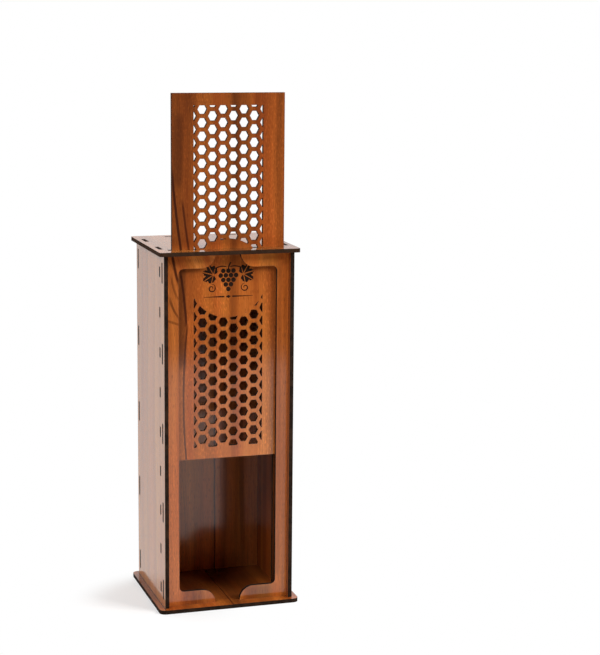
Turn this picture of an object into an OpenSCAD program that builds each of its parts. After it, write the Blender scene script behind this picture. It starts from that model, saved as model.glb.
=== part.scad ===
// Wine box cut from flat board: finger-jointed walls between a base plate and a top plate,
// and a honeycomb door that drops through a slot in the top plate.
// Origin: middle of the base plate's underside, front of the box towards -Y, +Z up.

/* [Box] */
// Thickness of the board that every piece is cut from
board = 4; // [3:0.1:5]
// Width over the outer faces of the two side panels
box_w = 132; // [128:1:170]
// Depth of the side panels, front edge to back edge
box_d = 120; // [110:1:160]
// Height of the walls between the base plate and the top plate
wall_h = 355; // [350:1:400]
// How far the back panel sits in from the back edges of the side panels
back_inset = 5; // [3:0.5:15]

/* [Plates] */
// How far the base plate stands out past the walls on every side
base_lip = 6; // [2:0.5:20]
// Corner radius of the base plate
base_corner = 6; // [1:0.5:20]
// How far the top plate stands out past the walls on every side
top_lip = 5; // [2:0.5:20]
// Corner radius of the top plate
top_corner = 3; // [1:0.5:20]

/* [Front frame] */
// How far the frame sits in from the front edges of the side panels
frame_inset = 6; // [4:0.5:15]
// Width of the frame's uprights beside the window, and of the guide strips behind them
upright_w = 12; // [8:0.5:20]
// Height of the frame's rails above and below the window
rail_h = 14; // [8:0.5:20]
// Inner corner radius of the window
window_corner = 5; // [1:0.5:8]
// Narrowest width of the thumb notches between the two frame halves
notch_w = 25.5; // [15:0.5:34]

/* [Finger joints] */
// Length of the long tabs
tab_l = 20; // [10:1:30]
// Distance between the long tabs up a wall, middle to middle
tab_pitch = 80; // [60:1:80]
// Length of the small tabs on the guide strips, which stand twice as close
small_tab_l = 10; // [6:1:18]
// Distance of the back panel's top and bottom tabs from its middle
back_tab_x = 28; // [18:1:40]
// Clearance between a tab and its slot, on each side
fit = 0.1; // [0:0.05:0.3]

/* [Door] */
// Width of the door
door_w = 113.5; // [108:0.5:114]
// Height of the door
door_h = 362; // [360:1:420]
// How far the door is raised above its closed place
door_raised = 148.5; // [0:0.5:200]
// How far the door has slipped to the right in its slot
door_slip = 1.5; // [-2:0.05:2]
// Depth of the channel that the door slides in, front to back
channel = 6; // [5.4:0.1:9]
// How much longer the slot in the top plate is than the door is wide
slot_play = 4.5; // [4.5:0.1:6]

/* [Honeycomb] */
// Width of the pierced field
field_w = 70; // [50:1:90]
// Solid margin above and below the pierced field
field_margin = 12; // [8:0.5:30]
// Radius of the solid disc in the middle of the field
disc_r = 39; // [10:0.5:50]
// Width of one hexagon, corner to corner
hex_w = 9.7; // [6:0.1:11]
// Distance from one column of hexagons to the next
hex_dx = 10.5; // [10:0.05:16]
// Distance from one hexagon to the next in a column
hex_dz = 13.05; // [12.5:0.05:18]
// Height of the second column's middle hexagon above the middle of the door
hex_rise = -4.3; // [-6:0.1:6]
// Least height of a hexagon that the field's upper or lower border cuts
least_cut = 1; // [0.5:0.1:4]

/* [Hidden] */
$fn = 96;

walnut = "#96502a";
side_walnut = "#b08c78";

half_w = box_w / 2;
half_d = box_d / 2;
inner_half = half_w - board;
floor_z = board;
roof_z = floor_z + wall_h;

// Front faces of the upright pieces, from the front of the box to its back
frame_y = -half_d + frame_inset;
channel_y = frame_y + board;
strip_y = channel_y + channel;
back_y = half_d - back_inset - board;

// Middles of the tabs: up the walls, along the side panels, and across the back panel
long_rows = [for (i = [-2:2]) wall_h / 2 + i * tab_pitch];
small_rows = [for (i = [-4:4]) wall_h / 2 + i * tab_pitch / 2];
side_tab_ys = [-box_d / 4, box_d / 4];
back_tab_xs = [-back_tab_x, back_tab_x];

slot_w = door_w + slot_play;
door_y = channel_y + (channel - board) / 2;
door_z = floor_z + door_raised;

// The hexagons are taller than regular ones in the same measure as their spacing
hex_stretch = hex_dz / (hex_dx * 2 / sqrt(3));
side_cols = ceil(field_w / hex_dx / 2);
side_rows = ceil(door_h / hex_dz / 2);
field_h = door_h - 2 * field_margin;
hex_h = hex_w * hex_stretch * sin(60);

// Stands an outline drawn as (x, z) upright, its front face at y
module upright_across(y) {
    translate([0, y + board, 0]) rotate([90, 0, 0]) linear_extrude(board) children();
}

// Stands an outline drawn as (y, z) upright, its left face at x
module upright_along(x) {
    translate([x, 0, 0]) rotate([90, 0, 90]) linear_extrude(board) children();
}

// Outline of a plate, centred, with round corners
module plate_outline(w, d, r) {
    square([w - 2 * r, d], center = true);
    square([w, d - 2 * r], center = true);
    for (x = [-1, 1], y = [-1, 1])
        translate([x * (w / 2 - r), y * (d / 2 - r)]) circle(r);
}

// Slots through a plate for the tabs of the side panels and the back panel
module plate_slots() {
    for (x = [-half_w, inner_half], y = side_tab_ys)
        translate([x - fit, y - tab_l / 2 - fit]) square([board + 2 * fit, tab_l + 2 * fit]);
    for (x = back_tab_xs)
        translate([x - tab_l / 2 - fit, back_y - fit]) square([tab_l + 2 * fit, board + 2 * fit]);
}

// Slots up a side panel's outline, for the tabs of a piece whose front face is at y
module wall_slots(y, rows, length) {
    for (z = rows)
        translate([y - fit, z - length / 2 - fit]) square([board + 2 * fit, length + 2 * fit]);
}

// Tabs up the left edge of a piece that stands between the side panels
module edge_tabs(rows, length) {
    for (z = rows)
        translate([-half_w, z - length / 2]) square([board + 1, length]);
}

module base_plate() {
    color(walnut)
    linear_extrude(board) difference() {
        plate_outline(box_w + 2 * base_lip, box_d + 2 * base_lip, base_corner);
        plate_slots();
    }
}

module top_plate() {
    color(walnut)
    translate([0, 0, roof_z]) linear_extrude(board) difference() {
        plate_outline(box_w + 2 * top_lip, box_d + 2 * top_lip, top_corner);
        plate_slots();
        translate([-slot_w / 2, channel_y]) square([slot_w, channel]);
    }
}

module side_panel(x) {
    color(side_walnut)
    translate([0, 0, floor_z]) upright_along(x) difference() {
        union() {
            translate([-half_d, 0]) square([box_d, wall_h]);
            for (y = side_tab_ys)
                translate([y - tab_l / 2, -board]) square([tab_l, wall_h + 2 * board]);
        }
        wall_slots(frame_y, long_rows, tab_l);
        wall_slots(strip_y, small_rows, small_tab_l);
        wall_slots(back_y, long_rows, tab_l);
    }
}

module left_side_panel() side_panel(-half_w);
module right_side_panel() side_panel(inner_half);

module back_panel() {
    color(walnut)
    translate([0, 0, floor_z]) upright_across(back_y) union() {
        translate([-inner_half, 0]) square([2 * inner_half, wall_h]);
        for (x = back_tab_xs)
            translate([x - tab_l / 2, -board]) square([tab_l, wall_h + 2 * board]);
        edge_tabs(long_rows, tab_l);
        mirror([1, 0]) edge_tabs(long_rows, tab_l);
    }
}

// Lower rail of the left frame half: it is filleted into the upright, and its free end
// rolls down into the thumb notch with a quarter round as high as the rail
module rail_outline() {
    window_x = -inner_half + upright_w;
    round_x = -notch_w / 2 - rail_h;
    translate([-inner_half, 0]) square([inner_half + round_x, rail_h]);
    translate([round_x, 0]) intersection() {
        circle(rail_h);
        square(rail_h);
    }
    translate([window_x, rail_h]) difference() {
        square(window_corner);
        translate([window_corner, window_corner]) circle(window_corner);
    }
}

// One half of the front frame: an upright with a rail at each end, like a square bracket
module frame_half() {
    color(walnut)
    translate([0, 0, floor_z]) upright_across(frame_y) union() {
        translate([-inner_half, 0]) square([upright_w, wall_h]);
        rail_outline();
        translate([0, wall_h]) mirror([0, 1]) rail_outline();
        edge_tabs(long_rows, tab_l);
    }
}

module left_front_frame() frame_half();
module right_front_frame() mirror([1, 0, 0]) frame_half();

// Strip behind the front frame that leaves the door its channel
module guide_strip() {
    color(walnut)
    translate([0, 0, floor_z]) upright_across(strip_y) union() {
        translate([-inner_half, 0]) square([upright_w, wall_h]);
        edge_tabs(small_rows, small_tab_l);
    }
}

module left_guide_strip() guide_strip();
module right_guide_strip() mirror([1, 0, 0]) guide_strip();

// One hexagon, corners to the left and right
module hexagon() {
    polygon([for (a = [0:60:300]) hex_w / 2 * [cos(a), hex_stretch * sin(a)]]);
}

// Columns of hexagons, every other column raised by half a step. A hexagon of which the
// field would keep only a sliver is left out.
module honeycomb() {
    for (i = [-side_cols:side_cols - 1]) {
        rise = hex_rise + (i % 2 == 0 ? hex_dz / 2 : 0);
        for (z = [for (j = [-side_rows:side_rows]) rise + j * hex_dz])
            if (abs(z) < (field_h + hex_h) / 2 - least_cut)
                translate([(i + 0.5) * hex_dx, z]) hexagon();
    }
}

// Door outline about its own middle: the honeycomb ends at the field's straight borders
// and at the round of the solid disc
module door_outline() {
    difference() {
        square([door_w, door_h], center = true);
        intersection() {
            honeycomb();
            difference() {
                square([field_w, field_h], center = true);
                circle(disc_r);
            }
        }
    }
}

module sliding_door() {
    color(walnut)
    translate([door_slip, 0, door_z + door_h / 2]) upright_across(door_y) door_outline();
}

base_plate();
top_plate();
left_side_panel();
right_side_panel();
back_panel();
left_front_frame();
right_front_frame();
left_guide_strip();
right_guide_strip();
sliding_door();
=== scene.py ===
# %% [markdown]
# # Dressing a wooden wine box
# The box stands upright, tall and narrow, with a door that slides up through its top. It is cut from
# thin board with a glossy walnut pattern, and the cuts are charred dark. Its shape is already there:
# ten boards come in from the construction model, each an object of its own. What is left for Blender is
# the finish of every board, the engraving on the door and the light of the photo studio. The boards
# come first, because everything else takes its place from them.

# %% Load the boards
from math import cos, hypot, pi, radians, sin

import bmesh
import bpy
from mathutils import Matrix, Vector


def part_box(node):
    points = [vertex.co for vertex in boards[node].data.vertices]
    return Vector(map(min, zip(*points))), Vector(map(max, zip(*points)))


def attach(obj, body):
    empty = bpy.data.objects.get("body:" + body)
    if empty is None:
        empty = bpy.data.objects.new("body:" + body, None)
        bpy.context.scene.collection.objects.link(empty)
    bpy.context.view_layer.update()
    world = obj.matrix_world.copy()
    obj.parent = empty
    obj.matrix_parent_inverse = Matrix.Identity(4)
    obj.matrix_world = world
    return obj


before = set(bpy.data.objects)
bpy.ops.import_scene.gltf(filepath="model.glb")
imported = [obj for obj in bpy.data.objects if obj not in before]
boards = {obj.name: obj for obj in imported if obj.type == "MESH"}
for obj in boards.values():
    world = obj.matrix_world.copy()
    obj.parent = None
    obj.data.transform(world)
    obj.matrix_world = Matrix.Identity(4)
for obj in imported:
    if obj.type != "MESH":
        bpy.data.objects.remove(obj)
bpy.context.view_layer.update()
print("boards:", sorted(boards))

# %% [markdown]
# The camera stands to the left of the box, a little above its top plate, and almost two metres away. A
# long lens keeps the uprights nearly parallel. Its angles are written as a photographer would say them,
# turned right, tipped down and barely rolled, and one matrix is made of the three. The alternative, a
# Track To constraint, can't hold the slight roll.

# %% Place the camera
FRAME_TALL, FOCAL_PIXELS, SENSOR_TALL = 655, 1783.0, 36.0
CAMERA_PLACE = Vector((-0.4620, -1.7192, 0.5995))
TURNED_RIGHT, TIPPED_DOWN, ROLLED_LEFT = radians(17.851), radians(10.291), radians(0.538)

camera_data = bpy.data.cameras.new("camera")
camera_data.sensor_fit = "VERTICAL"
camera_data.sensor_width = camera_data.sensor_height = SENSOR_TALL
camera_data.lens = SENSOR_TALL * FOCAL_PIXELS / FRAME_TALL
camera = bpy.data.objects.new("camera", camera_data)
camera.matrix_world = (
    Matrix.Translation(CAMERA_PLACE)
    @ Matrix.Rotation(-TURNED_RIGHT, 4, "Z")
    @ Matrix.Rotation(pi / 2 - TIPPED_DOWN, 4, "X")
    @ Matrix.Rotation(ROLLED_LEFT, 4, "Z")
)
bpy.context.scene.collection.objects.link(camera)
bpy.context.scene.camera = camera
print(f"lens {camera_data.lens:.1f} mm, {CAMERA_PLACE.length:.2f} m from the foot of the box")

# %% [markdown]
# Every material below is a small tree of nodes, and a few helpers keep the trees short to write. One
# adds a node with its settings, and one feeds a socket with either a link or a plain value. The others
# place one kind of node and return its output, so that steps can be chained as in ordinary maths.

# %% Helpers for nodes
def add_node(tree, kind, **settings):
    node = tree.nodes.new(kind)
    for name, value in settings.items():
        setattr(node, name, value)
    return node


def feed(tree, socket, value):
    if isinstance(value, bpy.types.NodeSocket):
        tree.links.new(value, socket)
    else:
        socket.default_value = value


def do_math(tree, operation, *values):
    node = add_node(tree, "ShaderNodeMath", operation=operation)
    for socket, value in zip(node.inputs, values):
        feed(tree, socket, value)
    return node.outputs[0]


def do_vector(tree, operation, *values):
    node = add_node(tree, "ShaderNodeVectorMath", operation=operation)
    for socket, value in zip(node.inputs, values):
        feed(tree, socket, value)
    return node.outputs["Value" if operation in ("DOT_PRODUCT", "LENGTH") else "Vector"]


def mix_colors(tree, factor, first, second, blend="MIX"):
    node = add_node(tree, "ShaderNodeMix", data_type="RGBA", blend_type=blend)
    feed(tree, node.inputs["Factor"], factor)
    feed(tree, node.inputs[6], first)
    feed(tree, node.inputs[7], second)
    return node.outputs[2]


def fade(tree, value, start, end, low=0.0, high=1.0):
    """A soft step: low where the value is at start, high where it is at end."""
    node = add_node(tree, "ShaderNodeMapRange", interpolation_type="SMOOTHSTEP")
    labels = ("Value", "From Min", "From Max", "To Min", "To Max")
    for label, setting in zip(labels, (value, start, end, low, high)):
        feed(tree, node.inputs[label], setting)
    return node.outputs["Result"]


for helper in (add_node, feed, do_math, do_vector, mix_colors, fade):
    print("helper:", helper.__name__)

# %% [markdown]
# A place on a board is a vector. It comes from Object coordinates, which stay with a piece when it
# moves, and it often has to be taken apart into its axes or pushed sideways. An effect that several
# materials share becomes a node group with named sockets, so there is a helper that makes a group and
# one that places it in a tree.

# %% Helpers for places, groups and materials
FLOAT, VECTOR, COLOR = "NodeSocketFloat", "NodeSocketVector", "NodeSocketColor"


def object_place(tree):
    return add_node(tree, "ShaderNodeTexCoord").outputs["Object"]


def split_axes(tree, place):
    node = add_node(tree, "ShaderNodeSeparateXYZ")
    feed(tree, node.inputs[0], place)
    return node.outputs


def push_sideways(tree, place, shift):
    """Moves a place across the grain."""
    node = add_node(tree, "ShaderNodeCombineXYZ")
    feed(tree, node.inputs["X"], shift)
    return do_vector(tree, "ADD", place, node.outputs[0])


def new_group(name, inputs, outputs):
    """A shader node group: returns its tree, what it is given and the sockets of what it makes."""
    group = bpy.data.node_groups.new(name, "ShaderNodeTree")
    for label, kind, value in inputs:
        socket = group.interface.new_socket(name=label, in_out="INPUT", socket_type=kind)
        socket.default_value = value
    for label, kind in outputs:
        group.interface.new_socket(name=label, in_out="OUTPUT", socket_type=kind)
    entry = add_node(group, "NodeGroupInput")
    return group, entry.outputs, add_node(group, "NodeGroupOutput").inputs


def place_group(tree, group, **values):
    node = add_node(tree, "ShaderNodeGroup", node_tree=group)
    for label, value in values.items():
        feed(tree, node.inputs[label.replace("_", " ")], value)
    return node.outputs


def new_material(name):
    material = bpy.data.materials.new(name)
    material.use_nodes = True
    return material, material.node_tree


for helper in (object_place, split_axes, push_sideways, new_group, place_group, new_material):
    print("helper:", helper.__name__)

# %% [markdown]
# Wood is full of long soft marks, and noise makes them all: squeezed across the grain and drawn out
# along it. Each kind of mark has a size in metres. Through the board every size is half a metre, far
# more than the board is thick, so that the pattern doesn't change from one face to the other.

# %% Helpers for wood marks
THROUGH = 0.5
NOISE_MIDDLE = 0.5


def noise(tree, place, size, detail=0.0):
    """Noise with blobs of a size in metres: across the grain, through the board and along the grain."""
    scaled = do_vector(tree, "MULTIPLY", place, tuple(1 / length for length in size))
    node = add_node(tree, "ShaderNodeTexNoise")
    feed(tree, node.inputs["Vector"], scaled)
    node.inputs["Scale"].default_value = 1.0
    node.inputs["Detail"].default_value = detail
    return node.outputs["Fac"]


def centred(tree, value):
    """Noise hovers around a half; this lets it hover around zero."""
    return do_math(tree, "SUBTRACT", value, NOISE_MIDDLE)


def marks(tree, place, size, between, detail=0.0, low=0.0, high=1.0):
    """Soft-edged marks, which fade in between two values of the noise."""
    return fade(tree, noise(tree, place, size, detail), *between, low, high)


print(f"marks are {THROUGH} m deep")

# %% [markdown]
# The boards' faces carry a printed walnut pattern under a glossy film. Walnut seen flat is soft brown
# bands that wander along the tree, a few long dark veins, fine fibres, short pale flecks and tiny dark
# pores. An image would do this in one step, but a procedural pattern stays sharp at any size. Its
# colours come first, from dark to light.

# %% Walnut colours
def walnut(red, green, blue):
    return (red, green, blue, 1.0)


WALNUT_TONES = [
    (0.26, walnut(0.135, 0.033, 0.0065)),
    (0.40, walnut(0.270, 0.065, 0.0110)),
    (0.52, walnut(0.390, 0.099, 0.0155)),
    (0.64, walnut(0.505, 0.138, 0.0220)),
    (0.78, walnut(0.610, 0.192, 0.0360)),
]
REDDISH = walnut(0.94, 0.80, 0.85)
VEIN_BROWN = walnut(0.050, 0.011, 0.004)
print(len(WALNUT_TONES), "walnut tones")

# %% [markdown]
# The pattern is one group. It starts from bands of noise that are drawn out along the grain. A slow
# second noise bends their coordinates, so that the bands wander, and a cloud lightens and darkens whole
# patches. Then a colour ramp turns the sum into brown.

# %% Wandering bands of brown
WANDER_SIZE = (0.045, THROUGH, 0.150)
BAND_SIZE = (0.016, THROUGH, 0.90)
CLOUD_SIZE, CLOUD_SHARE = (0.050, THROUGH, 0.120), 0.16

pattern, given, made = new_group(
    "walnut_pattern",
    [("Vector", VECTOR, (0, 0, 0)), ("Wander", FLOAT, 0.010), ("Tone", FLOAT, 0.0),
     ("Veins", FLOAT, 1.0), ("Contrast", FLOAT, 1.0), ("Flecks", FLOAT, 1.0), ("Climb", FLOAT, 0.0)],
    [("Color", COLOR), ("Height", FLOAT)],
)
slow = noise(pattern, given["Vector"], WANDER_SIZE, detail=1.0)
shift = do_math(pattern, "MULTIPLY", centred(pattern, slow), given["Wander"])
bent = push_sideways(pattern, given["Vector"], shift)

bands = noise(pattern, bent, BAND_SIZE, detail=3.0)
cloud = noise(pattern, given["Vector"], CLOUD_SIZE)
tone = do_math(pattern, "ADD", bands, do_math(pattern, "MULTIPLY", centred(pattern, cloud), CLOUD_SHARE))
tone = do_math(pattern, "MULTIPLY_ADD", centred(pattern, tone), given["Contrast"], NOISE_MIDDLE)
tone = do_math(pattern, "ADD", tone, given["Climb"])
ramp = add_node(pattern, "ShaderNodeValToRGB")
feed(pattern, ramp.inputs["Fac"], do_math(pattern, "ADD", tone, given["Tone"]))
ramp_stops = ramp.color_ramp.elements
for position, _ in WALNUT_TONES[len(ramp_stops):]:
    ramp_stops.new(position)
for stop, (position, color) in zip(ramp_stops, WALNUT_TONES):
    stop.position, stop.color = position, color
print("brown through", len(ramp_stops), "stops")

# %% [markdown]
# Over the bands lie the small marks. Some bands are redder than others. Fibres run the length of a hand
# and shade the brown a little darker or lighter. Flecks are short and pale and come in zones, and pores
# are dark dots a few millimetres long.

# %% Reds, fibres, flecks and pores
REDS = dict(size=(0.022, THROUGH, 0.40), between=(0.42, 0.62), detail=1.0)
FIBRES = dict(size=(0.0008, THROUGH, 0.035), between=(0.30, 0.70), detail=2.0, low=0.89, high=1.09)
FLECK_ZONES = dict(size=(0.035, THROUGH, 0.30), between=(0.42, 0.58))
FLECKS = dict(size=(0.0010, THROUGH, 0.0036), between=(0.52, 0.72))
PORES = dict(size=(0.00045, THROUGH, 0.0060), between=(0.62, 0.72))
FLECK_LIGHT, PORE_COVER = 0.30, 0.35

tinted = mix_colors(pattern, marks(pattern, bent, **REDS), ramp.outputs["Color"], REDDISH, "MULTIPLY")
fibres = marks(pattern, bent, **FIBRES)
fleck_zones = marks(pattern, given["Vector"], **FLECK_ZONES)
flecks = do_math(pattern, "MULTIPLY", marks(pattern, given["Vector"], **FLECKS), fleck_zones)
fleck_gain = do_math(pattern, "MULTIPLY", given["Flecks"], FLECK_LIGHT)
fleck_light = do_math(pattern, "MULTIPLY_ADD", flecks, fleck_gain, 1.0)
pores = marks(pattern, given["Vector"], **PORES)
shaded = mix_colors(pattern, 1.0, tinted, fibres, "MULTIPLY")
shaded = mix_colors(pattern, 1.0, shaded, fleck_light, "MULTIPLY")
shaded = mix_colors(pattern, do_math(pattern, "MULTIPLY", pores, PORE_COVER), shaded, VEIN_BROWN)
print("small marks done,", len(pattern.nodes), "nodes so far")

# %% [markdown]
# The long dark veins are the edges of the tree's rings. Where a very long noise passes one value, a
# thin line is drawn, as on a map of heights, and a second noise breaks the line here and there. The
# pores are also the pattern's relief.

# %% Ring veins, and the pattern's outputs
RING_SIZE, RING_VALUE, RING_HALF_WIDTH = (0.024, THROUGH, 1.30), 0.46, 0.016
RING_BREAKS = dict(size=(0.030, THROUGH, 0.110), between=(0.44, 0.60))
RING_COVER = 0.75

rings = noise(pattern, bent, RING_SIZE)
near_ring = do_math(pattern, "ABSOLUTE", do_math(pattern, "SUBTRACT", rings, RING_VALUE))
vein = fade(pattern, near_ring, 0.0, RING_HALF_WIDTH, 1.0, 0.0)
vein = do_math(pattern, "MULTIPLY", vein, marks(pattern, given["Vector"], **RING_BREAKS))
vein = do_math(pattern, "MULTIPLY", vein, given["Veins"])
veined = mix_colors(pattern, do_math(pattern, "MULTIPLY", vein, RING_COVER), shaded, VEIN_BROWN)
feed(pattern, made["Color"], veined)
feed(pattern, made["Height"], do_math(pattern, "SUBTRACT", 1.0, pores))
print("walnut pattern:", len(pattern.nodes), "nodes")

# %% [markdown]
# Some veins are worth placing one by one, such as the pair down the door's left side. A group draws one: a
# soft dark line at a given place across the grain, which leans, bends, sways and tapers off between two ends.
# A very wide one is no longer a line but a soft dark band, and so the same group also darkens part of a
# board.

# %% A vein at a given place
# Some of the wide bands drawn with this group are painted shade: on the floor of the bay, beside the window's
# edges and under the top plate.
SWAY_SIZE = (0.5, THROUGH, 0.060)
VEIN_CORE = 0.35

vein_and_shade_band, given, made = new_group(
    "vein_and_shade_band",
    [("Vector", VECTOR, (0, 0, 0)), ("Across", FLOAT, 0.0), ("Lean", FLOAT, 0.0), ("Bend", FLOAT, 0.0),
     ("Sway", FLOAT, 0.0), ("Width", FLOAT, 0.001), ("Start", FLOAT, 0.0), ("End", FLOAT, 1.0),
     ("Depth", FLOAT, 0.8), ("Taper", FLOAT, 0.012)],
    [("Mask", FLOAT)],
)
axes = split_axes(vein_and_shade_band, given["Vector"])
risen = do_math(vein_and_shade_band, "SUBTRACT", axes["Z"], given["Start"])
slope = do_math(vein_and_shade_band, "MULTIPLY_ADD", risen, given["Bend"], given["Lean"])
lean = do_math(vein_and_shade_band, "MULTIPLY", risen, slope)
sway = centred(vein_and_shade_band, noise(vein_and_shade_band, given["Vector"], SWAY_SIZE, detail=1.0))
sway = do_math(vein_and_shade_band, "MULTIPLY", sway, given["Sway"])
line = do_math(vein_and_shade_band, "ADD", given["Across"], do_math(vein_and_shade_band, "ADD", lean, sway))
distance = do_math(vein_and_shade_band, "ABSOLUTE", do_math(vein_and_shade_band, "SUBTRACT", axes["X"], line))
widths_off = do_math(vein_and_shade_band, "DIVIDE", distance, given["Width"])
body = fade(vein_and_shade_band, widths_off, VEIN_CORE, 1.0, 1.0, 0.0)
rises = fade(vein_and_shade_band, risen, 0.0, given["Taper"])
falls = fade(vein_and_shade_band, do_math(vein_and_shade_band, "SUBTRACT", given["End"], axes["Z"]), 0.0, given["Taper"])
ends = do_math(vein_and_shade_band, "MULTIPLY", rises, falls)
deep = do_math(vein_and_shade_band, "MULTIPLY", body, given["Depth"])
feed(vein_and_shade_band, made["Mask"], do_math(vein_and_shade_band, "MULTIPLY", deep, ends))
print("placed vein:", len(vein_and_shade_band.nodes), "nodes")

# %% [markdown]
# Near a knot or a branch the grain leaves the tree's direction in a curve. That takes a bend of the
# coordinates, not another pattern: above a given height, the place across the grain shifts by the
# square of the height.

# %% Grain that curls away
grain_curl, given, made = new_group(
    "grain_curl",
    [("Vector", VECTOR, (0, 0, 0)), ("Strength", FLOAT, 1.0), ("Start", FLOAT, 0.0)],
    [("Vector", VECTOR)],
)
above = do_math(grain_curl, "SUBTRACT", split_axes(grain_curl, given["Vector"])["Z"], given["Start"])
above = do_math(grain_curl, "MAXIMUM", above, 0.0)
squared = do_math(grain_curl, "MULTIPLY", above, above)
curled = do_math(grain_curl, "MULTIPLY", squared, given["Strength"])
feed(grain_curl, made["Vector"], push_sideways(grain_curl, given["Vector"], curled))
print("grain curl:", len(grain_curl.nodes), "nodes")

# %% [markdown]
# The laser leaves every cut charred: dull, almost black, with fine stripes. One material has to serve
# the glossy faces and the charred cuts of a board, because both are on one mesh. The mesh itself tells
# them apart: a face looks along the board's thin direction and a cut looks away from it. Smoke also
# leaves a narrow rim of soot on the film beside a cut, and a Bevel node finds that rim, because it
# bends the normal close to an edge.

# %% Charred cuts and sooty rims
CHAR_DARK = walnut(0.016, 0.0095, 0.0065)
CHAR_LIGHT = walnut(0.036, 0.0190, 0.0115)
CHAR_BROWN = walnut(0.070, 0.031, 0.014)
SOOT = walnut(0.120, 0.064, 0.044)
STRIPES = dict(size=(0.0060, 0.010, 0.0060), between=(0.30, 0.75), detail=1.0)
LOOKS_AWAY = 0.5
RIM_WIDTH, RIM_BEGINS, RIM_FULL = 0.0010, 0.995, 0.80

charring, given, made = new_group(
    "charring",
    [("Vector", VECTOR, (0, 0, 0)), ("Thin Direction", VECTOR, (0, 1, 0)), ("Brown", FLOAT, 0.0)],
    [("Color", COLOR), ("Cut", FLOAT), ("Rim", FLOAT)],
)
normal = add_node(charring, "ShaderNodeNewGeometry").outputs["True Normal"]
facing = do_vector(charring, "DOT_PRODUCT", normal, given["Thin Direction"])
facing = do_math(charring, "ABSOLUTE", facing)
feed(charring, made["Cut"], do_math(charring, "LESS_THAN", facing, LOOKS_AWAY))
char = mix_colors(charring, marks(charring, given["Vector"], **STRIPES), CHAR_DARK, CHAR_LIGHT)
feed(charring, made["Color"], mix_colors(charring, given["Brown"], char, CHAR_BROWN))
rounded = add_node(charring, "ShaderNodeBevel", samples=4)
rounded.inputs["Radius"].default_value = RIM_WIDTH
bend = do_vector(charring, "DOT_PRODUCT", rounded.outputs["Normal"], normal)
feed(charring, made["Rim"], fade(charring, bend, RIM_BEGINS, RIM_FULL))
print("charring:", len(charring.nodes), "nodes")

# %% [markdown]
# Now the pattern can be laid on a board. It has to know which way the grain runs and which way the
# board is thin, so a Mapping node turns it: X runs across the grain, Y through the board and Z along
# the grain. A shift takes each board from another place on the sheet, as in the workshop. Some boards
# also get lighter or darker from one end to the other, and that is their climb.

# %% The pattern on one board
UPRIGHT = {"turn": (0, 0, 0), "thin": (0, 1, 0)}
SIDEWAYS = {"turn": (0, 0, pi / 2), "thin": (1, 0, 0)}
LYING = {"turn": (pi / 2, 0, 0), "thin": (0, 0, 1)}
CLIMB_MIDDLE = 0.3


def lay_pattern(tree, lie, sheet_place, climb, curl, settings):
    """Returns the turned place on the board and the outputs of the pattern."""
    turned = add_node(tree, "ShaderNodeMapping")
    feed(tree, turned.inputs["Vector"], object_place(tree))
    turned.inputs["Rotation"].default_value = lie["turn"]
    on_board = grain = turned.outputs["Vector"]
    if curl:
        strength, start = curl
        grain = place_group(tree, grain_curl, Vector=on_board, Strength=strength, Start=start)["Vector"]
    on_sheet = do_vector(tree, "ADD", grain, sheet_place)
    if climb:
        above_middle = do_math(tree, "SUBTRACT", split_axes(tree, on_board)["Z"], CLIMB_MIDDLE)
        settings = {**settings, "Climb": do_math(tree, "MULTIPLY", above_middle, climb)}
    return on_board, place_group(tree, pattern, Vector=on_sheet, **settings)


print("three ways to lie: upright, sideways and lying")

# %% [markdown]
# One function dresses any board. The printed paper is dull, and the glossy film over it is the shader's
# coat, which the charred cuts don't have. At a glancing look the film mirrors the studio: that is why
# the side of the box looks pale while its front stays brown. The tint evens out a board that comes from
# a paler or darker sheet.

# %% One material per board
FILM_IOR, GLOSS = 1.57, 0.09
PAPER_SPECULAR, PAPER_ROUGH, CHAR_ROUGH = 0.05, 0.60, 0.90
SOOT_COVER = 0.65
RELIEF_STRENGTH, RELIEF_DEPTH = 0.15, 0.00005


def board_material(name, lie, sheet_place, tint=(1, 1, 1), film=1.0, film_ior=FILM_IOR, gloss=GLOSS,
                   char_brown=0.0, climb=0.0, curl=None, placed=(), **pattern_settings):
    material, tree = new_material(name)
    shader = tree.nodes["Principled BSDF"]
    shader.inputs["Specular IOR Level"].default_value = PAPER_SPECULAR
    shader.inputs["Coat Roughness"].default_value = gloss
    shader.inputs["Coat IOR"].default_value = film_ior

    on_board, film_print = lay_pattern(tree, lie, sheet_place, climb, curl, pattern_settings)
    color = mix_colors(tree, 1.0, film_print["Color"], (*tint, 1.0), "MULTIPLY")
    for vein_and_shade_settings in placed:
        mask = place_group(tree, vein_and_shade_band, Vector=on_board, **vein_and_shade_settings)["Mask"]
        color = mix_colors(tree, mask, color, VEIN_BROWN)
    cuts = place_group(tree, charring, Vector=on_board, Thin_Direction=lie["thin"], Brown=char_brown)
    color = mix_colors(tree, do_math(tree, "MULTIPLY", cuts["Rim"], SOOT_COVER), color, SOOT)
    feed(tree, shader.inputs["Base Color"], mix_colors(tree, cuts["Cut"], color, cuts["Color"]))
    feed(tree, shader.inputs["Roughness"], fade(tree, cuts["Cut"], 0.0, 1.0, PAPER_ROUGH, CHAR_ROUGH))
    feed(tree, shader.inputs["Coat Weight"], fade(tree, cuts["Cut"], 0.0, 1.0, film, 0.0))

    relief = add_node(tree, "ShaderNodeBump")
    relief.inputs["Strength"].default_value = RELIEF_STRENGTH
    relief.inputs["Distance"].default_value = RELIEF_DEPTH
    feed(tree, relief.inputs["Height"], film_print["Height"])
    feed(tree, shader.inputs["Normal"], relief.outputs["Normal"])
    feed(tree, shader.inputs["Coat Normal"], relief.outputs["Normal"])
    return material


def dress(node, *arguments, **settings):
    material = board_material(node + "_walnut", *arguments, **settings)
    for slot in boards[node].material_slots:
        slot.material = material
    print(node, "has", len(settings.get("placed", ())), "placed veins")


print(f"the film's index is {FILM_IOR} and its roughness {GLOSS}")
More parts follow.
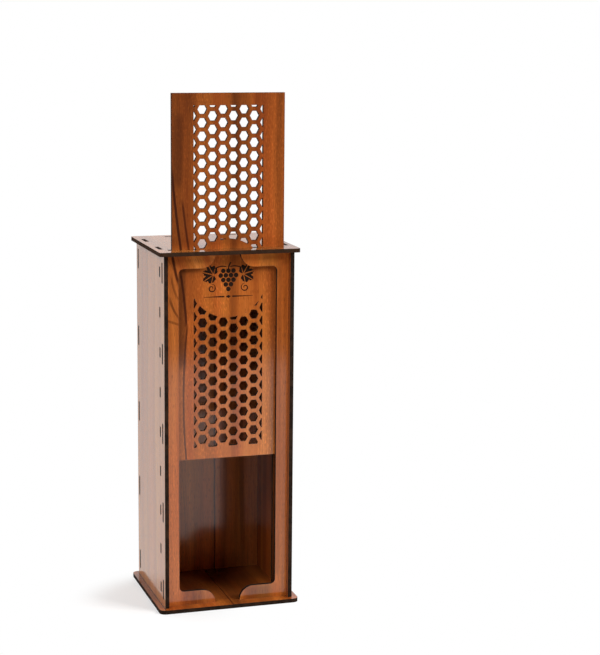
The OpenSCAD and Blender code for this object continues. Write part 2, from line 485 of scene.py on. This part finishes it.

# %% [markdown]
# The boards are dressed one by one, and the places and heights of their veins are metres in the box's own
# frame, so it helps to know where the walls and the door begin and end. The plates come first. On the base,
# one vein runs from front to back, three wide soft dark bands on the floor of the bay are painted shade, and
# a thin line darkens the joint along the left side.

# %% Dress the two plates
door_low, door_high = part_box("sliding_door")
frame_low, frame_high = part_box("left_front_frame")
print(f"walls from {frame_low.z:.4f} to {frame_high.z:.4f} m up")
print(f"door from {door_low.z:.4f} to {door_high.z:.4f} m up")

dress("base_plate", LYING, (0.31, 0.0, 0.12), tint=(0.82, 0.83, 0.76), film=0.80, Tone=0.07, Veins=0.2,
      placed=[dict(Across=0.003, Sway=0.002, Width=0.0012, Start=-0.08, End=0.08),
              dict(Across=0.011, Sway=0.002, Width=0.0100, Start=-0.08, End=0.08, Depth=0.45),
              # The three wide bands below are painted shade on the floor of the bay.
              dict(Across=0.0, Width=0.0620, Start=-0.054, End=0.060, Depth=0.46),
              dict(Across=-0.045, Width=0.0550, Start=-0.050, End=0.075, Depth=0.60, Taper=0.035),
              dict(Across=0.040, Width=0.0450, Start=-0.010, End=0.080, Depth=0.48, Taper=0.030),
              dict(Across=-0.0664, Width=0.0009, Start=-0.072, End=0.072, Depth=0.8)])
# The top plate's cuts are drawn browner than the plain char: painted light for its front edge, which the
# lamps light more directly.
dress("top_plate", LYING, (0.73, 0.0, 0.41), tint=(0.76, 0.95, 1.00), film=0.79, film_ior=1.5,
      gloss=0.08, char_brown=0.3, Veins=0.1, Contrast=0.7, Flecks=0.4,
      placed=[dict(Across=0.055, Width=0.0700, Start=-0.09, End=0.09, Depth=0.22)])

# %% [markdown]
# The walls are plainer. The two sides have an even sheet without veins that catch the eye. The back panel has
# a thin vein near its middle and a darker right half. The guide strips behind the front frame are tinted much
# darker: painted shade, so that they disappear in the shade of the window's edge.

# %% Dress the walls and the guide strips
dress("left_side_panel", SIDEWAYS, (1.17, 0.0, 0.23), tint=(0.89, 1.17, 1.20), film=0.93, film_ior=1.5,
      climb=-0.38, Tone=0.015, Wander=0.016, Veins=0.0, Contrast=0.5, Flecks=0.0)
dress("right_side_panel", SIDEWAYS, (1.59, 0.0, 0.57), tint=(0.74, 0.76, 0.80), film=0.70,
      Veins=0.2, Contrast=0.8, Flecks=0.3)
# The back panel's lowered tone, and its climb that darkens it towards the top, are painted shade of the bay
# behind the door.
dress("back_panel", UPRIGHT, (2.03, 0.0, 0.11), tint=(1.42, 1.85, 2.60), gloss=0.14,
      climb=-0.60, Tone=-0.11, Veins=0.3, Contrast=0.9, Flecks=0.0,
      placed=[dict(Across=0.0147, Sway=0.003, Width=0.0012, Start=-0.05, End=0.40),
              dict(Across=0.047, Lean=-0.02, Sway=0.004, Width=0.0040, Start=-0.02, End=0.25, Depth=0.45,
                   Taper=0.09),
              dict(Across=0.050, Sway=0.006, Width=0.0320, Start=-0.05, End=0.40, Depth=0.33)])
# The dark tints of both guide strips are painted shade.
dress("left_guide_strip", UPRIGHT, (3.29, 0.0, 0.71), tint=(0.40, 0.38, 0.40))
dress("right_guide_strip", UPRIGHT, (3.61, 0.0, 0.29), tint=(0.30, 0.28, 0.30))

# %% [markdown]
# The two halves of the front frame are pale and warm. At the top of the left upright the grain curls away,
# and a few slanting veins follow it. The rails at the foot of both halves are a little darker, and so is the
# outer edge of the right upright. A soft dark patch at the top corner of the right half is painted shade
# under the top plate.

# %% Dress the front frame
dress("left_front_frame", UPRIGHT, (2.41, 0.0, 0.37), tint=(1.16, 1.25, 1.44), curl=(1.5, 0.255),
      climb=0.20, Wander=0.012, Tone=0.105, Veins=0.1, Flecks=0.5,
      placed=[dict(Across=-0.0482, Lean=-0.315, Bend=2.5, Width=0.002, Start=0.324, End=0.371, Depth=0.92),
              dict(Across=-0.0480, Lean=-0.584, Bend=9.41, Width=0.0016, Start=0.31, End=0.344, Depth=0.55),
              dict(Across=-0.0459, Lean=-0.801, Bend=11.22, Width=0.0018, Start=0.291, End=0.323, Depth=0.65),
              dict(Across=-0.0183, Lean=-2.66, Width=0.0048, Start=0.2785, End=0.306, Depth=0.45),
              dict(Across=-0.0320, Width=0.0200, Start=-0.01, End=0.026, Depth=0.36)])
dress("right_front_frame", UPRIGHT, (2.87, 0.0, 0.31), tint=(1.40, 1.54, 1.44),
      Tone=0.13, Veins=0.0, Contrast=0.5, Flecks=0.3,
      placed=[dict(Across=0.032, Width=0.0240, Start=-0.01, End=0.026, Depth=0.70),
              dict(Across=0.0505, Sway=0.002, Width=0.0060, Start=0.02, End=0.35, Depth=0.35),
              # The patch below is painted shade under the top plate.
              dict(Across=0.044, Sway=0.004, Width=0.0140, Start=0.325, End=0.38, Depth=0.28)])

# %% [markdown]
# The door is the board that is looked at most. A pair of veins comes down its left side and parts near the
# top plate, and the wood around them is darker. Inside the window, the dark band along the window's left edge
# is partly darker wood and partly painted shade of the frame, and a faint band along the window's right edge
# is painted shade. Wide soft bands darken its top, its middle and the disc. Its honeycomb is charred browner
# than the other cuts.

# %% Dress the door
dress("sliding_door", UPRIGHT, (4.03, 0.0, 0.47), char_brown=0.5,
      climb=-0.44, Tone=0.055, Veins=0.0, Contrast=0.85,
      placed=[dict(Across=-0.0404, Lean=-0.104, Bend=0.73, Width=0.0014, Start=0.142, End=0.292, Depth=0.8),
              dict(Across=-0.0406, Lean=-0.048, Bend=-0.96, Width=0.0017, Start=0.281, End=0.348, Depth=0.88),
              dict(Across=-0.0449, Lean=-0.153, Bend=0.38, Width=0.0018, Start=0.353, End=0.446, Depth=0.95),
              dict(Across=-0.0372, Lean=-0.165, Bend=0.50, Width=0.0015, Start=0.355, End=0.415, Depth=0.8),
              # The band below is partly darker wood and partly painted shade of the frame beside the window's
              # left edge.
              dict(Across=-0.0455, Sway=0.002, Width=0.0060, Start=0.24, End=0.365, Depth=0.62),
              dict(Across=-0.0380, Sway=0.003, Width=0.0080, Start=0.29, End=0.365, Depth=0.22),
              dict(Across=-0.0500, Sway=0.006, Width=0.0240, Start=0.36, End=0.53, Depth=0.52),
              dict(Across=-0.0490, Sway=0.008, Width=0.0070, Start=0.42, End=0.50, Depth=0.45),
              dict(Across=-0.0100, Sway=0.010, Width=0.0450, Start=0.490, End=0.54, Depth=0.26),
              dict(Across=0.0015, Width=0.0420, Start=0.362, End=0.505, Depth=0.38),
              dict(Across=0.0015, Width=0.0420, Start=0.250, End=0.305, Depth=0.13, Taper=0.02),
              # The faint band below is painted shade beside the window's right edge.
              dict(Across=0.0480, Width=0.0130, Start=0.17, End=0.36, Depth=0.15)])
print("dressed:", len([m for m in bpy.data.materials if m.name.endswith("_walnut")]), "boards")

# %% [markdown]
# The disc in the middle of the door is engraved with a bunch of grapes between two vine leaves over a
# tapering rule. The laser burns such marks dull and dark, and so shallow that a recess wouldn't show.
# So they are thin plates that lie in the door's face. Their finish comes first.

# %% The burnt finish
BURNT_DARK, BURNT_LIGHT = walnut(0.012, 0.007, 0.004), walnut(0.028, 0.014, 0.008)
BURNT_GRAIN = dict(size=(0.0006, THROUGH, 0.004), between=(0.35, 0.7), detail=2.0)
BURNT_ROUGH = 0.8

burnt, burnt_tree = new_material("burnt_engraving")
burnt_shader = burnt_tree.nodes["Principled BSDF"]
burnt_shader.inputs["Roughness"].default_value = BURNT_ROUGH
burnt_shader.inputs["Specular IOR Level"].default_value = PAPER_SPECULAR
burnt_grain = marks(burnt_tree, object_place(burnt_tree), **BURNT_GRAIN)
feed(burnt_tree, burnt_shader.inputs["Base Color"],
     mix_colors(burnt_tree, burnt_grain, BURNT_DARK, BURNT_LIGHT))
print("burnt finish:", len(burnt_tree.nodes), "nodes")

# %% [markdown]
# The ornament is drawn flat, in millimetres from the middle of the disc, because that is how one draws
# on paper. Helpers put a drawn point on the disc, give flat faces their depth into the door, and finish
# a mesh as a piece that rides on the door.

# %% From a drawing to a plate in the door's face
ENGRAVED_PROUD, ENGRAVED_SUNK = 0.00004, 0.0002
ENGRAVED_DEEP = ENGRAVED_PROUD + ENGRAVED_SUNK
door_front = door_low.y
disc_center = (door_low + door_high) / 2


def on_disc(across, up):
    """A place at the engraving's front, from millimetres right of and above the disc's middle."""
    x, z = disc_center.x + across / 1000, disc_center.z + up / 1000
    return Vector((x, door_front - ENGRAVED_PROUD, z))


def finish_engraving(name, mesh):
    piece = bpy.data.objects.new(name, mesh)
    bpy.context.scene.collection.objects.link(piece)
    if not mesh.materials:
        mesh.materials.append(burnt)
    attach(piece, "door")
    print(name, len(mesh.polygons), "faces")


def put_in_order(drawing):
    """Sorts the faces by their corners, because an extrusion leaves them in another order each run."""
    drawing.verts.index_update()
    count = len(drawing.verts)
    ranks = {}
    for face in drawing.faces:
        ranks[face] = sum(vert.index * count ** place for place, vert in enumerate(face.verts))
    drawing.faces.sort(key=ranks.get)


def engrave(name, drawing):
    """Gives the flat faces of a drawing their depth and finishes them as one piece."""
    deep = bmesh.ops.extrude_face_region(drawing, geom=list(drawing.faces))["geom"]
    moved = [part for part in deep if isinstance(part, bmesh.types.BMVert)]
    bmesh.ops.translate(drawing, verts=moved, vec=(0, ENGRAVED_DEEP, 0))
    bmesh.ops.recalc_face_normals(drawing, faces=drawing.faces)
    put_in_order(drawing)
    mesh = bpy.data.meshes.new(name)
    drawing.to_mesh(mesh)
    drawing.free()
    finish_engraving(name, mesh)


print(f"the middle of the disc is {disc_center.z:.4f} m up")

# %% [markdown]
# Grapes repeat in a pattern that has a rule: each row up the bunch holds one more, and the top row
# loses its two corners. That is work for Geometry Nodes. A square grid of points is sheared into a
# triangle, and the points outside the bunch are deleted.

# %% A bunch of points
GRAPE_ROWS, GRAPE_PITCH, GRAPE_RADIUS, GRAPE_SIDES = 5, 0.0052, 0.00235, 24
HALF_A_STEP, ROW_RISE = 0.5, sin(pi / 3)
ABOVE_LAST_BUT_ONE, ROUNDING = 1.5, 0.1

grape_tree = bpy.data.node_groups.new("grape_bunch", "GeometryNodeTree")
for label, kind in (("Rows", "NodeSocketInt"), ("Pitch", FLOAT), ("Radius", FLOAT), ("Depth", FLOAT),
                    ("Lowest Grape", VECTOR), ("Finish", "NodeSocketMaterial")):
    grape_tree.interface.new_socket(name=label, in_out="INPUT", socket_type=kind)
grape_tree.interface.new_socket(name="Geometry", in_out="OUTPUT", socket_type="NodeSocketGeometry")
asked = add_node(grape_tree, "NodeGroupInput").outputs

grid = add_node(grape_tree, "GeometryNodeMeshGrid")
feed(grape_tree, grid.inputs["Vertices X"], asked["Rows"])
feed(grape_tree, grid.inputs["Vertices Y"], asked["Rows"])
index = add_node(grape_tree, "GeometryNodeInputIndex").outputs[0]
row = do_math(grape_tree, "MODULO", index, asked["Rows"])
step = do_math(grape_tree, "FLOOR", do_math(grape_tree, "DIVIDE", index, asked["Rows"]))
row_reach = do_math(grape_tree, "MULTIPLY", row, HALF_A_STEP)
from_middle = do_math(grape_tree, "SUBTRACT", step, row_reach)
offset = add_node(grape_tree, "ShaderNodeCombineXYZ")
feed(grape_tree, offset.inputs["X"], do_math(grape_tree, "MULTIPLY", from_middle, asked["Pitch"]))
row_height = do_math(grape_tree, "MULTIPLY", asked["Pitch"], ROW_RISE)
feed(grape_tree, offset.inputs["Z"], do_math(grape_tree, "MULTIPLY", row, row_height))
grape_place = do_vector(grape_tree, "ADD", offset.outputs[0], asked["Lowest Grape"])
spread = add_node(grape_tree, "GeometryNodeSetPosition")
feed(grape_tree, spread.inputs["Geometry"], grid.outputs["Mesh"])
feed(grape_tree, spread.inputs["Position"], grape_place)

last_row = do_math(grape_tree, "SUBTRACT", asked["Rows"], ABOVE_LAST_BUT_ONE)
top_loss = do_math(grape_tree, "GREATER_THAN", row, last_row)
allowed = do_math(grape_tree, "ADD", do_math(grape_tree, "SUBTRACT", row_reach, top_loss), ROUNDING)
outside = do_math(grape_tree, "GREATER_THAN", do_math(grape_tree, "ABSOLUTE", from_middle), allowed)
trimmed = add_node(grape_tree, "GeometryNodeDeleteGeometry", domain="POINT")
feed(grape_tree, trimmed.inputs["Geometry"], spread.outputs["Geometry"])
feed(grape_tree, trimmed.inputs["Selection"], outside)
print("points of the bunch:", len(grape_tree.nodes), "nodes")

# %% [markdown]
# A flat drum stands on each point. Instances are quick, but the exported model needs real geometry, so
# the tree ends with Realize Instances and Set Material.

# %% A drum on each point
drum = add_node(grape_tree, "GeometryNodeMeshCylinder")
drum.inputs["Vertices"].default_value = GRAPE_SIDES
feed(grape_tree, drum.inputs["Radius"], asked["Radius"])
feed(grape_tree, drum.inputs["Depth"], asked["Depth"])
grapes = add_node(grape_tree, "GeometryNodeInstanceOnPoints")
feed(grape_tree, grapes.inputs["Points"], trimmed.outputs["Geometry"])
feed(grape_tree, grapes.inputs["Instance"], drum.outputs["Mesh"])
grapes.inputs["Rotation"].default_value = (pi / 2, 0, 0)
real = add_node(grape_tree, "GeometryNodeRealizeInstances")
feed(grape_tree, real.inputs["Geometry"], grapes.outputs["Instances"])
finished = add_node(grape_tree, "GeometryNodeSetMaterial")
feed(grape_tree, finished.inputs["Geometry"], real.outputs["Geometry"])
feed(grape_tree, finished.inputs["Material"], asked["Finish"])
grape_output = add_node(grape_tree, "NodeGroupOutput")
feed(grape_tree, grape_output.inputs[0], finished.outputs["Geometry"])
print("grape bunch:", len(grape_tree.nodes), "nodes")

# %% [markdown]
# A tree does nothing until a modifier runs it. The modifier sits on an empty carrier for a moment, its
# settings are given by each socket's identifier, and the evaluated result is kept as a plain mesh.

# %% Grow the bunch
GRAPE_FOOT = -10.5


def mesh_from_tree(tree, name, settings):
    """Runs a geometry tree with named settings and keeps the result as a plain mesh."""
    carrier = bpy.data.objects.new(name + "_carrier", bpy.data.meshes.new(name + "_carrier"))
    modifier = carrier.modifiers.new("tree", "NODES")
    modifier.node_group = tree
    sockets = [item for item in tree.interface.items_tree if item.in_out == "INPUT"]
    identifiers = {socket.name: socket.identifier for socket in sockets}
    for label, value in settings.items():
        modifier[identifiers[label]] = value
    bpy.context.scene.collection.objects.link(carrier)
    evaluated = carrier.evaluated_get(bpy.context.evaluated_depsgraph_get())
    mesh = bpy.data.meshes.new_from_object(evaluated)
    mesh.name = name
    bpy.data.objects.remove(carrier)
    return mesh


lowest_grape = on_disc(0, GRAPE_FOOT)
lowest_grape.y += ENGRAVED_DEEP / 2
grape_mesh = mesh_from_tree(grape_tree, "engraved_grapes", {
    "Rows": GRAPE_ROWS, "Pitch": GRAPE_PITCH, "Radius": GRAPE_RADIUS, "Depth": ENGRAVED_DEEP,
    "Lowest Grape": lowest_grape, "Finish": burnt})
finish_engraving("engraved_grapes", grape_mesh)

# %% [markdown]
# A vine leaf has five lobes with teeth, and no short formula gives a good one. So half of it is drawn
# as three sectors round the stalk's end and mirrored. Each sector shrinks towards its own middle: the
# bare walnut that stays between the six reads as the leaf's veins.

# %% The two leaves
LEAF_STALK = (0.0, -2.5)
LEAF_SECTORS = [
    [(0.0, 10.0), (1.3, 7.6), (2.6, 7.4), (2.7, 4.6), (4.6, 5.8), (6.0, 7.0), (7.2, 6.6), (9.2, 6.2)],
    [(9.2, 6.2), (8.2, 4.4), (8.8, 3.0), (7.0, 1.8), (8.2, 0.6), (9.4, -1.2), (8.6, -2.6)],
    [(8.6, -2.6), (7.4, -4.6), (5.6, -5.0), (4.0, -6.2), (2.2, -5.6), (0.8, -3.8)],
]
SECTOR_SIZE = 0.88
LEAF_ACROSS, LEAF_UP, LEAF_TURN = 17.5, 4.5, radians(75)


def add_leaf(drawing, across, up, turn):
    """One leaf whose middle is at (across, up); its tip points up and then turns clockwise."""
    for side in (-1, 1):
        for sector in LEAF_SECTORS:
            outline = [LEAF_STALK] + sector
            middle_x = sum(x for x, _ in outline) / len(outline)
            middle_y = sum(y for _, y in outline) / len(outline)
            corners = []
            for x, y in outline:
                x = side * (middle_x + SECTOR_SIZE * (x - middle_x))
                y = middle_y + SECTOR_SIZE * (y - middle_y)
                turned_x, turned_y = x * cos(turn) + y * sin(turn), y * cos(turn) - x * sin(turn)
                corners.append(drawing.verts.new(on_disc(across + turned_x, up + turned_y)))
            hub = corners[0]
            for first, second in zip(corners[1:], corners[2:]):
                drawing.faces.new((hub, first, second))


leaves = bmesh.new()
for side in (-1, 1):
    add_leaf(leaves, side * LEAF_ACROSS, LEAF_UP, side * LEAF_TURN)
engrave("engraved_leaves", leaves)

# %% [markdown]
# The stalk, the tendrils and the rule under the bunch are strokes: lines with a width that swells and
# tapers. A stroke is a strip of four-sided faces along a path, as wide at each point as the pen is
# pressed there.

# %% A stroke of the pen
SPIRAL_POINTS, SPIRAL_TIGHTENS = 40, 0.80


def add_stroke(drawing, path, widths):
    pairs = []
    for number, (x, y) in enumerate(path):
        before, after = path[max(number - 1, 0)], path[min(number + 1, len(path) - 1)]
        way_x, way_y = after[0] - before[0], after[1] - before[1]
        length = hypot(way_x, way_y)
        side_x, side_y = -way_y / length * widths[number] / 2, way_x / length * widths[number] / 2
        pairs.append([drawing.verts.new(on_disc(x + side_x, y + side_y)),
                      drawing.verts.new(on_disc(x - side_x, y - side_y))])
    for (left, right), (next_left, next_right) in zip(pairs, pairs[1:]):
        drawing.faces.new((left, right, next_right, next_left))


def swell(count, widest, narrowest):
    return [narrowest + (widest - narrowest) * sin(pi * (n + 0.5) / count) for n in range(count)]


def spiral(across, up, radius, start, turns, side):
    """A curl that winds in towards (across, up); side is 1 or -1 for its direction."""
    path = []
    for number in range(SPIRAL_POINTS):
        share = number / (SPIRAL_POINTS - 1)
        angle = start + side * turns * 2 * pi * share
        reach = radius * (1 - SPIRAL_TIGHTENS * share)
        path.append((across + reach * cos(angle), up + reach * sin(angle)))
    return path


print("a curl has", SPIRAL_POINTS, "points")

# %% [markdown]
# With the pen ready, the ornament is finished: the stalk over the bunch, and on each side of it a
# tendril that curls in, an arm that reaches from the bunch to the leaf, and half of the rule, which
# thins towards its end. A small lozenge joins the two halves of the rule.

# %% Stalk, tendrils, arms and rule
STALK = [(0.0, 8.5), (0.2, 11.0), (1.0, 13.5), (2.4, 16.0)]
STALK_WIDTHS = [1.2, 1.3, 1.6, 2.0]
CURL_ACROSS, CURL_UP, CURL_RADIUS, CURL_TURNS = 17.0, -9.5, 4.4, 1.35
ARM_UP, ARM_RISE, ARM_SPAN = 11.0, 1.2, 12
RULE_UP, RULE_WIDTH, RULE_THINS = -18.0, 1.5, 1.1
LOZENGE_REACH, LOZENGE_WIDTHS = 2.4, [0.3, 3.0, 0.3]

strokes = bmesh.new()
add_stroke(strokes, STALK, STALK_WIDTHS)
for side in (-1, 1):
    tendril = spiral(side * CURL_ACROSS, CURL_UP, CURL_RADIUS, radians(90), CURL_TURNS, side)
    add_stroke(strokes, tendril, swell(len(tendril), widest=1.2, narrowest=0.4))
    arm = [(side * x, ARM_UP + ARM_RISE * sin(pi * x / ARM_SPAN)) for x in range(2, 15, 2)]
    add_stroke(strokes, arm, swell(len(arm), widest=1.2, narrowest=0.7))
    rule = [(side * x, RULE_UP) for x in range(4, 28, 3)]
    add_stroke(strokes, rule, [RULE_WIDTH - RULE_THINS * n / (len(rule) - 1) for n in range(len(rule))])
lozenge = [(x, RULE_UP) for x in (-LOZENGE_REACH, 0.0, LOZENGE_REACH)]
add_stroke(strokes, lozenge, LOZENGE_WIDTHS)
engrave("engraved_strokes", strokes)

# %% [markdown]
# The studio is white all round, and the floor runs out of the picture without a seam. A white surface
# under plain light renders just short of white. So the floor adds the missing part, but only for rays
# that come from the camera or from a glossy surface, and the light on the box stays as it is.

# %% Helpers for the studio
def seen_directly(tree):
    """1 for camera rays and for mirrored and transmitted rays, 0 for the rays that light the box."""
    ray = add_node(tree, "ShaderNodeLightPath").outputs
    mirrored = do_math(tree, "MAXIMUM", ray["Is Glossy Ray"], ray["Is Transmission Ray"])
    return do_math(tree, "MAXIMUM", ray["Is Camera Ray"], mirrored)


def flat_sheet(name, corners, finish):
    """A sheet for the studio with an empty material: returns the sheet and the material's tree."""
    mesh = bpy.data.meshes.new(name)
    mesh.from_pydata(corners, [], [tuple(range(len(corners)))])
    sheet = bpy.data.objects.new(name, mesh)
    bpy.context.scene.collection.objects.link(sheet)
    material, tree = new_material(finish)
    tree.nodes.clear()
    mesh.materials.append(material)
    print(name, "with", finish)
    return sheet, tree


def show(tree, shader):
    """Connects a shader to the material's output."""
    feed(tree, add_node(tree, "ShaderNodeOutputMaterial").inputs["Surface"], shader.outputs[0])


for helper in (seen_directly, flat_sheet, show):
    print("helper:", helper.__name__)

# %% [markdown]
# The floor has two parts. Round the box it is matt, and so the shadow that falls to the left is kept.
# Further off it is pure white, as in a picture whose background was brightened, and a soft edge joins the
# two. On the right of the box the pure white begins at once and is painted over the shadow that falls there.

# %% White floor
FLOOR_HALF, FLOOR_COLOR, FLOOR_LIFT = 12.0, 0.58, 0.36
SHADOW_MIDDLE, SHADOW_REACH, SHADOW_END = (-0.035, -0.042, 0.0), 0.082, 0.130
RIGHT_BEGINS, RIGHT_FULL = -0.05, 0.02

floor_corners = [(-FLOOR_HALF, -FLOOR_HALF, 0), (FLOOR_HALF, -FLOOR_HALF, 0),
                 (FLOOR_HALF, FLOOR_HALF, 0), (-FLOOR_HALF, FLOOR_HALF, 0)]
_, floor_tree = flat_sheet("floor", floor_corners, "white_floor")
matt = add_node(floor_tree, "ShaderNodeBsdfDiffuse")
matt.inputs["Color"].default_value = (FLOOR_COLOR, FLOOR_COLOR, FLOOR_COLOR, 1.0)
lift = add_node(floor_tree, "ShaderNodeEmission")
missing_light = do_math(floor_tree, "MULTIPLY", seen_directly(floor_tree), FLOOR_LIFT)
feed(floor_tree, lift.inputs["Strength"], missing_light)
both = add_node(floor_tree, "ShaderNodeAddShader")
feed(floor_tree, both.inputs[0], matt.outputs[0])
feed(floor_tree, both.inputs[1], lift.outputs[0])
pure_white = add_node(floor_tree, "ShaderNodeEmission")

floor_place = object_place(floor_tree)
from_shadow = do_vector(floor_tree, "SUBTRACT", floor_place, SHADOW_MIDDLE)
far_off = fade(floor_tree, do_vector(floor_tree, "LENGTH", from_shadow), SHADOW_REACH, SHADOW_END)
# Right of the box, pure white is painted over the shadow.
on_the_right = fade(floor_tree, split_axes(floor_tree, floor_place)["X"], RIGHT_BEGINS, RIGHT_FULL)
far_off = do_math(floor_tree, "MAXIMUM", far_off, on_the_right)
floor_blend = add_node(floor_tree, "ShaderNodeMixShader")
whitened = do_math(floor_tree, "MULTIPLY", far_off, seen_directly(floor_tree))
feed(floor_tree, floor_blend.inputs["Fac"], whitened)
feed(floor_tree, floor_blend.inputs[1], both.outputs[0])
feed(floor_tree, floor_blend.inputs[2], pure_white.outputs[0])
show(floor_tree, floor_blend)
print(f"floor shows the shadow up to {SHADOW_END} m from {SHADOW_MIDDLE}")

# %% [markdown]
# The world is the white room. It is seen as pure white, but it lights the box a little less, because
# the soft boxes give the rest.

# %% White surroundings
AMBIENT = 0.77

world = bpy.data.worlds.new("white_studio")
world.use_nodes = True
bpy.context.scene.world = world
world_tree = world.node_tree
surroundings = world_tree.nodes["Background"]
surroundings.inputs["Color"].default_value = (1.0, 1.0, 1.0, 1.0)
room_light = fade(world_tree, seen_directly(world_tree), 0.0, 1.0, AMBIENT, 1.0)
feed(world_tree, surroundings.inputs["Strength"], room_light)
print("the room lights the box with", AMBIENT)

# %% [markdown]
# A glossy front would mirror the white room and lose its brown. Photographers stop this with a flag, a black
# cloth in front of the object. This one hides from the camera's own rays and casts no shadow, but the film
# mirrors it and it holds back light as real cloth would. It hangs a good metre in front of the box. The white
# floor on this side of it is what pales the lower half of the door, up to the height at which the flag's hem
# is mirrored. The hem glows, nearly white at the floor and fading to black a few centimetres up, so that this
# painted soft reflection leaves no hard line across the door.

# %% The black flag
FLAG_DISTANCE, FLAG_HALF, FLAG_HEIGHT = 1.19, 5.0, 5.0
HEM_HEIGHT, HEM_LIGHT = 0.03, 0.95

flag_corners = [(-FLAG_HALF, -FLAG_DISTANCE, 0), (FLAG_HALF, -FLAG_DISTANCE, 0),
                (FLAG_HALF, -FLAG_DISTANCE, FLAG_HEIGHT), (-FLAG_HALF, -FLAG_DISTANCE, FLAG_HEIGHT)]
flag, flag_tree = flat_sheet("black_flag", flag_corners, "black_cloth")
cloth = add_node(flag_tree, "ShaderNodeEmission")
up_the_cloth = split_axes(flag_tree, object_place(flag_tree))["Z"]
feed(flag_tree, cloth.inputs["Strength"], fade(flag_tree, up_the_cloth, 0.0, HEM_HEIGHT, HEM_LIGHT, 0.0))
show(flag_tree, cloth)
flag.visible_camera = flag.visible_shadow = False
flag.visible_transmission = flag.visible_volume_scatter = False
print(f"flag {FLAG_DISTANCE} m in front of the box")

# %% [markdown]
# Three soft boxes finish the light. Two stand to the sides and well above the box, the right one
# stronger. Coming from the sides they put a thin shadow inside the window's edges and barely reach the
# back of the bay, so it stays dark. The third is weak and hangs almost overhead on the right. It throws
# the short shadow on the floor to the left of the box.

# %% Soft boxes
LAMP_DISTANCE, LAMP_SIZE = 2.2, 0.9
BOX_MIDDLE = Vector((0.0, 0.0, 0.25))


def soft_box(name, to_the_right, up, watts):
    """A square lamp aimed at the box, from degrees to the right of its front and above its middle."""
    azimuth, elevation = radians(to_the_right), radians(up)
    outwards = Vector((sin(azimuth) * cos(elevation), -cos(azimuth) * cos(elevation), sin(elevation)))
    lamp = bpy.data.lights.new(name, "AREA")
    lamp.shape = "SQUARE"
    lamp.size, lamp.energy = LAMP_SIZE, watts
    light = bpy.data.objects.new(name, lamp)
    aimed = (-outwards).to_track_quat("-Z", "Y").to_matrix().to_4x4()
    light.matrix_world = Matrix.Translation(BOX_MIDDLE + LAMP_DISTANCE * outwards) @ aimed
    bpy.context.scene.collection.objects.link(light)
    print(f"{name}: {watts} W")


soft_box("right_soft_box", to_the_right=49, up=34, watts=39.5)
soft_box("left_soft_box", to_the_right=-52, up=38, watts=24.5)
soft_box("high_soft_box", to_the_right=112, up=78, watts=11)

# %% [markdown]
# Everything is in place. The last step shows the colours as they are, with the Standard view transform.

# %% The view transform, and the end
bpy.context.scene.view_settings.view_transform = "Standard"
